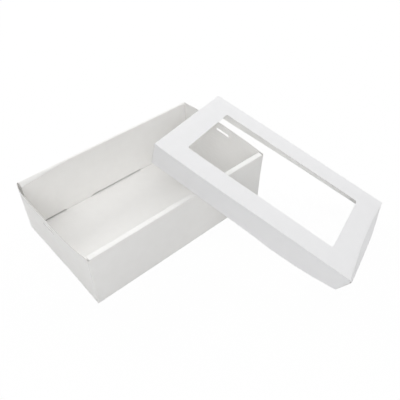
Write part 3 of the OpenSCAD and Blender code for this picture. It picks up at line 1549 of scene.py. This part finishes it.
    def _panel(self) -> None:
        """Make the panel: it turns down along three creases and ends sharp at the fourth."""
        s_end, v_end = self.along.places[-1], self.across.places[-1]
        panel = Blank("lid_panel_board", (0.0, 0.0), (s_end, v_end), self.board.cells(s_end, v_end))
        panel.rule(self.along.bend_lines(0.0, s_end), self.across.bend_lines(0.0, v_end))
        s_mid, v_mid = self.along.places[1] + self.half_l, self.across.places[1] + self.half_w
        half_s, half_v = self.window[0] / 2, self.window[1] / 2
        panel.punch(
            (s_mid - half_s, v_mid - half_v),
            (s_mid + half_s, v_mid + half_v),
            self.window_radius,
            self.window_cuts,
        )
        panel.mark(
            lambda s, v: max(
                creased(s, [self.along.places[1], s_end]), creased(v, self.across.places[1:3])
            )
        )
        panel.fold(self._panel_shape, Face.UP).put(self.place).thicken(self.board.thickness)
        self.dressing.give(panel, "lid", "lid_panel")

    def _long_side(self, side: Side) -> None:
        """Make a long skirt and the two flaps that are folded from its ends.

        Args:
            side: The skirt's side.
        """
        inner, bend = self.half_l - self.board.thickness, self.fold * self.skirt_bend_share
        plan = Path2D(
            [(-inner, self.flap), (-inner, 0.0), (inner, 0.0), (inner, self.flap)], bend, bend
        )
        high = self.depth - self.bend

        def shape(s: float, v: float) -> Triple:
            """Fold a point of the strip into place.

            Args:
                s: Its length round the two corners, from the upper flap's tip.
                v: Its height over the skirt's bottom edge.

            Returns:
                Its place in the lid's frame.
            """
            x, inwards = plan.at(s)
            down, y = self.depth - v, side.value * (self.half_w - inwards)
            lean = self._side_out(side, clamp(x, -self.half_l, self.half_l), down)
            y += side.value * lean * max(0.0, 1 - inwards / self.flap)
            if x < 0:
                x += self._upper_in(y, down) * clamp(1 - (x + self.half_l) / self.upper_run)
            else:
                x += self._lower_out(y, down) * clamp(1 - (self.half_l - x) / self.lower_run)
            return x, y, v

        def worn(s: float, v: float) -> float:
            """Return how creased the strip is at a point."""
            return max(creased(s, plan.places[1:3]), creased(v, [high], self.edge_reach))

        name, trim = side.name.lower(), self.flap_trim
        start, stop, end = plan.start(1), plan.end(2), plan.places[-1]
        for node, a, b, low, top, out in (
            (f"lid_{name}_skirt", start, stop, 0.0, high, side.out),
            (f"lid_upper_{name}_flap", 0.0, start, trim, high - 2 * trim, Face.WEST),
            (f"lid_lower_{name}_flap", stop, end, trim, high - 2 * trim, Face.EAST),
        ):
            cells = (*self.board.cells(b - a), self.rows)
            blank = Blank(f"{node}_board", (a, low), (b, top), cells)
            blank.rule(plan.bend_lines(a, b, self.corner_cuts)).mark(worn)
            blank.fold(shape, out).put(self.place).thicken(self.board.thickness)
            self.dressing.give(blank, "lid", node)

    def _short_side(self, end: End) -> None:
        """Make a short skirt, which covers the flaps of the long ones.

        Args:
            end: The skirt's end: left is the upper one, right the lower one.
        """
        upper = end is End.LEFT
        high = self.depth - (self.bend if upper else 0.0)

        def shape(y: float, v: float) -> Triple:
            """Bend a point of the skirt into place.

            Args:
                y: Its place across the lid.
                v: Its length up the skirt from the bottom edge.

            Returns:
                Its place in the lid's frame.
            """
            down = self.depth - v
            if upper:
                x = self._upper_in(y, down)
            else:
                line, share = self._lower_profile(y), 1.0 - v / high
                lip, bottom = line.places[1], line.places[2]
                if share < self.lip_share:
                    x, down = line.at(lip * share / self.lip_share)
                else:
                    past_share = (share - self.lip_share) / (1 - self.lip_share)
                    x, down = line.at(lip + (bottom - lip) * past_share)
            at_end = self.half_l * end.value
            y += self._edge_out(at_end, y, down, self.skirt_edge_power)
            return at_end + x, y, self.depth - down

        node = "lid_upper_skirt" if upper else "lid_lower_skirt"
        cells = (*self.board.cells(self.width), self.upper_rows if upper else self.rows)
        blank = Blank(f"{node}_board", (-self.half_w, 0.0), (self.half_w, high), cells)
        if not upper:
            lip = high * (1 - self.lip_share)
            blank.rule(along=[lip + line for line in self.lip_lines])
        blank.mark(lambda y, v: creased(v, [high], self.edge_reach))
        blank.fold(shape, end.out).put(self.place).thicken(self.board.thickness)
        self.dressing.give(blank, "lid", node)

    def _film(self) -> None:
        """Make the film, glued under the panel with its edge round the window."""
        open_x, open_y = self.window[0] / 2, self.window[1] / 2
        half_x, half_y = open_x + self.film_lap, open_y + self.film_lap
        top = self.depth - self.board.thickness - self.film_gap

        def glued(x: float, y: float) -> float:
            """Return how much glue there is at a point, from 0 to 1."""
            return clamp(max(abs(x) - open_x, abs(y) - open_y) / self.glue_run)

        def shape(x: float, y: float) -> Triple:
            """Let a point of the film sag a little.

            Args:
                x: Its place along the lid.
                y: Its place across the lid.

            Returns:
                Its place in the lid's frame.
            """
            edge_share = max(abs(x) / half_x, abs(y) / half_y) ** self.film_edge_power
            free_share = max(0.0, 1.0 - edge_share)
            wave = 1 + math.sin(x / self.film_wave_run) * self.film_wave_share
            return x, y, top - self.film_sag * free_share * wave

        sheet = Blank("window_film_sheet", (-half_x, -half_y), (half_x, half_y), self.film_cells)
        sheet.rule([-open_x, open_x], [-open_y, open_y])
        for sx in (-1, 1):
            for sy in (-1, 1):
                corner = (sx * (half_x - self.film_chamfer), sy * (half_y - self.film_chamfer))
                sheet.trim(corner, (sx, sy))
        sheet.mark(glued).fold(shape, Face.UP).put(self.place).thicken(self.film)
        self.film_dressing.give(sheet, "lid", "window_film")

    def build(self) -> None:
        """Make the lid's ten pieces."""
        self._panel()
        for side in Side:
            self._long_side(side)
        for end in End:
            self._short_side(end)
        self._film()


# Studio


@dataclass(frozen=True)
class Lamp:
    """A square soft light that looks at the box."""

    name: str
    place: Triple
    size: float
    power: float
    target: Triple = (0.03, -0.03, 0.03)

    def build(self) -> None:
        """Make the lamp."""
        data = bpy.data.lights.new(self.name, "AREA")
        data.shape, data.size, data.energy, data.color = "SQUARE", self.size, self.power, WHITE
        lamp = bpy.data.objects.new(self.name, data)
        way = (Vector(self.target) - Vector(self.place)).to_track_quat("-Z", "Y")
        lamp.matrix_world = Matrix.Translation(self.place) @ way.to_matrix().to_4x4()
        bpy.context.collection.objects.link(lamp)


@dataclass(frozen=True)
class Studio:
    """The pale floor, the soft light and the camera at the photograph's angle."""

    azimuth: float = 48.05
    pitch: float = 45.33
    roll: float = -0.81
    place: Triple = (-0.1913, -0.2931, 0.3675)
    lens: float = 43.77
    sensor: float = 36.0
    clip: Pair = (0.01, 20.0)
    floor_size: float = 6.0
    floor_height: float = -0.5 * MM
    sky: float = 0.187
    lamps: Sequence[Lamp] = (
        Lamp("overhead", (0.0, 0.0, 1.5), 1.4, 4.3),
        Lamp("camera_fill", (-0.75, -0.95, 1.2), 0.9, 6.0),
        Lamp("low_fill", (-1.05, -0.85, 0.85), 0.9, 4.3),
        Lamp("right_fill", (1.1, 0.0, 0.9), 0.9, 6.3),
        Lamp("back_fill", (0.0, 1.2, 0.9), 0.9, 10.5),
        Lamp("back_right_fill", (0.9, 0.9, 1.0), 0.9, 2.2),
    )

    def build(self) -> None:
        """Make the floor, the world, the lamps and the camera."""
        select_none()
        bpy.ops.mesh.primitive_plane_add(
            size=self.floor_size, location=(0.0, 0.0, self.floor_height)
        )
        floor = bpy.context.object
        floor.name = "studio_floor"
        bpy.ops.object.transform_apply(location=True)
        floor.data.materials.append(FloorFinish().material())
        self._world()
        for lamp in self.lamps:
            lamp.build()
        self._camera()

    def _world(self) -> None:
        """Light the room evenly, and show white wherever the floor ends."""
        graph = Graph(bpy.data.worlds.new("studio_sky"))
        light, shown = (
            graph.node("ShaderNodeBackground", {}, {"Color": WHITE, "Strength": strength})
            for strength in (self.sky, 1.0)
        )
        seen = graph.node("ShaderNodeLightPath").outputs["Is Camera Ray"]
        values = {0: seen, 1: light.outputs[0], 2: shown.outputs[0]}
        mix = graph.node("ShaderNodeMixShader", {}, values)
        bpy.context.scene.world = graph.finish(mix, "ShaderNodeOutputWorld")
        bpy.context.scene.view_settings.view_transform = "Standard"

    def _camera(self) -> None:
        """Place the camera as the photograph has it."""
        turn, dip, roll = (math.radians(a) for a in (self.azimuth, self.pitch, self.roll))
        ahead = Vector(
            (math.cos(dip) * math.cos(turn), math.cos(dip) * math.sin(turn), -math.sin(dip))
        )
        right = ahead.cross(Vector((0.0, 0.0, 1.0))).normalized()
        down = ahead.cross(right)
        across = right * math.cos(roll) + down * math.sin(roll)
        below = down * math.cos(roll) - right * math.sin(roll)
        data = bpy.data.cameras.new("photo_camera")
        data.lens, data.sensor_width, data.sensor_fit = self.lens, self.sensor, "AUTO"
        data.clip_start, data.clip_end = self.clip
        camera = bpy.data.objects.new("photo_camera", data)
        axes = Matrix((across, -below, -ahead)).transposed()
        camera.matrix_world = Matrix.Translation(self.place) @ axes.to_4x4()
        bpy.context.collection.objects.link(camera)
        bpy.context.scene.camera = camera


def note_size() -> None:
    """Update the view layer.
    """
    bpy.context.view_layer.update()


def main() -> None:
    """Build the box and the studio, in order."""
    logging.basicConfig(level=logging.INFO, format="%(name)s: %(message)s")
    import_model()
    sizes, tabs = BoxSizes.read(), Tabs()
    board = Board(sizes.board)
    tray_board, lid_board, lid_inside = (
        finish.material() for finish in (TRAY_BOARD, LID_SHADED_BOARD, LID_LIT_INSIDE)
    )
    cut_edge, lightened_edge_mat, mid_shade_edge_mat = (
        finish.material() for finish in (SHADE_DARKENED_EDGE_FINISH, LIGHTENED_EDGE_FINISH, MID_SHADE_EDGE_FINISH)
    )
    film = FilmFinish().material()
    # The cut edges carry painted shade or painted light: the darkest copy goes on the floor, the
    # far wall and the right end wall, the middle one on the left end wall, and the lightened one on
    # the near wall and the lid.
    tray, lightened_edge_tray, mid_shade_edge_tray = (
        Dressing(tray_board, edge, tray_board, "tray_board")
        for edge in (cut_edge, lightened_edge_mat, mid_shade_edge_mat)
    )
    # The lid's outer side takes the darkened board, painted shade for its lit top, and its inner
    # side the lightened copy, painted light for its shaded faces.
    lid = Dressing(lid_board, lightened_edge_mat, lid_inside, "lid_board")

    for made in (
        TrayFloor(board, sizes, tabs, tray),
        LongWall(Side.NEAR, NEAR_WALL, board, sizes, tabs, lightened_edge_tray),
        LongWall(Side.FAR, FAR_WALL, board, sizes, tabs, tray),
        EndWall(End.LEFT, LEFT_END, board, sizes, mid_shade_edge_tray),
        EndWall(End.RIGHT, RIGHT_END, board, sizes, tray),
        Lid(board, sizes, lid, Dressing(film, film, film, "clear_film")),
        Studio(),
    ):
        made.build()
    note_size()


if __name__ == "__main__":
    main()
